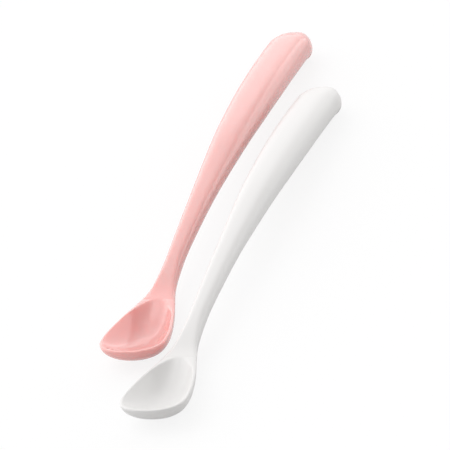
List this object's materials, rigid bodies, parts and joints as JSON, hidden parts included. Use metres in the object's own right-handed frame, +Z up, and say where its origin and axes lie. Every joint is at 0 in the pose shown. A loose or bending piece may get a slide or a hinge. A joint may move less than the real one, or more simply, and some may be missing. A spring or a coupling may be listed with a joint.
{
  "type": "baby spoon",
  "caption": "Pair of long-handled baby feeding spoons with small deep bowls, slim stems and broad arched handles that turn down to a foot; stiff core inside each.",
  "frame": {"origin": "middle of the pair's footprint, on the surface that the spoons lie on", "axes": "+X along the pink spoon from its bowl to its handle end, +Y from the white spoon to the pink one, +Z up"},
  "size_m": [0.1882, 0.0311, 0.0128],
  "materials": {
    "pink_gloss_plastic": "high gloss, moulded",
    "white_soft_plastic": "satin, moulded",
    "core_plastic": "natural, moulded"
  },
  "bodies": {
    "pink_spoon": {"pink_spoon_body": "pink_gloss_plastic", "pink_spoon_core": "core_plastic"},
    "white_spoon": {"white_spoon_body": "white_soft_plastic", "white_spoon_core": "core_plastic"}
  },
  "joints": [
    {"name": "white_spoon_lift", "type": "slide", "parent": "pink_spoon", "child": "white_spoon", "axis": [0, 0, 1], "range_m": [0, 0.06]}
  ]
}
